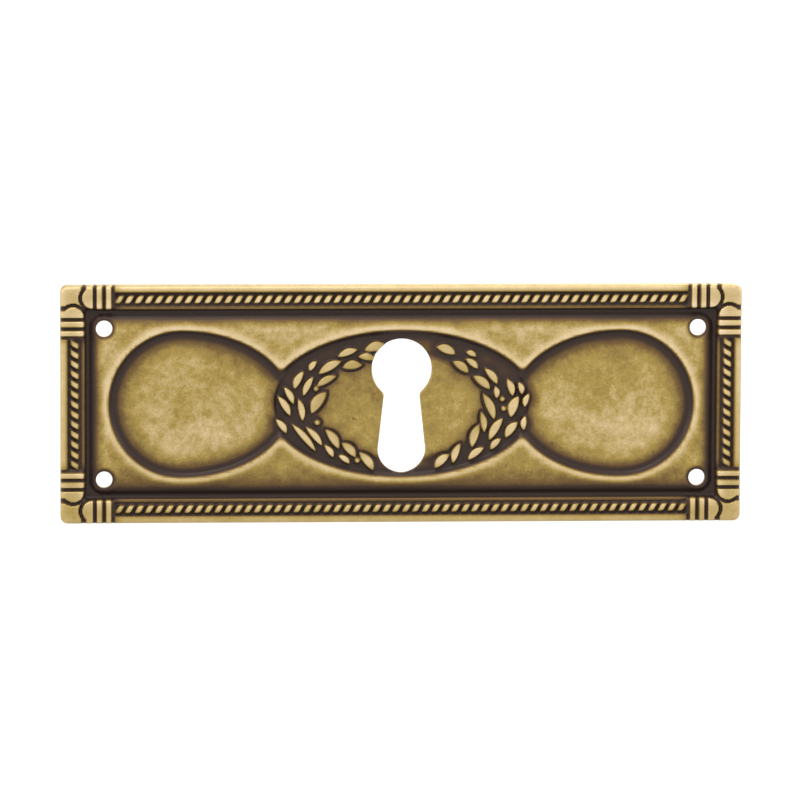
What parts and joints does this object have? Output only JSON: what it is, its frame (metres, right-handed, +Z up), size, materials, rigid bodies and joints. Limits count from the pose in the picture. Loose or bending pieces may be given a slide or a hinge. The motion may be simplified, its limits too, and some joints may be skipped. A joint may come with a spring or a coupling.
{
  "type": "keyhole escutcheon",
  "caption": "Rectangular pressed-brass keyhole plate with a rope-moulded frame, bound corners, oval panels and a laurel wreath round the keyhole; pinned to a drawer or cabinet front.",
  "frame": {"origin": "centre of the four pin holes, on the wall plane that the back of the plate lies on", "axes": "+X along the plate's length, to the right seen from the front; +Y into the wall, so the front faces -Y; +Z up, with the keyhole's round end on top"},
  "size_m": [0.1, 0.0023, 0.035],
  "materials": {
    "antique_brass": "antiqued: dark patina in the recesses, worn bright on the raised forms"
  },
  "bodies": {
    "root": {"escutcheon_plate": "antique_brass"}
  },
  "joints": []
}
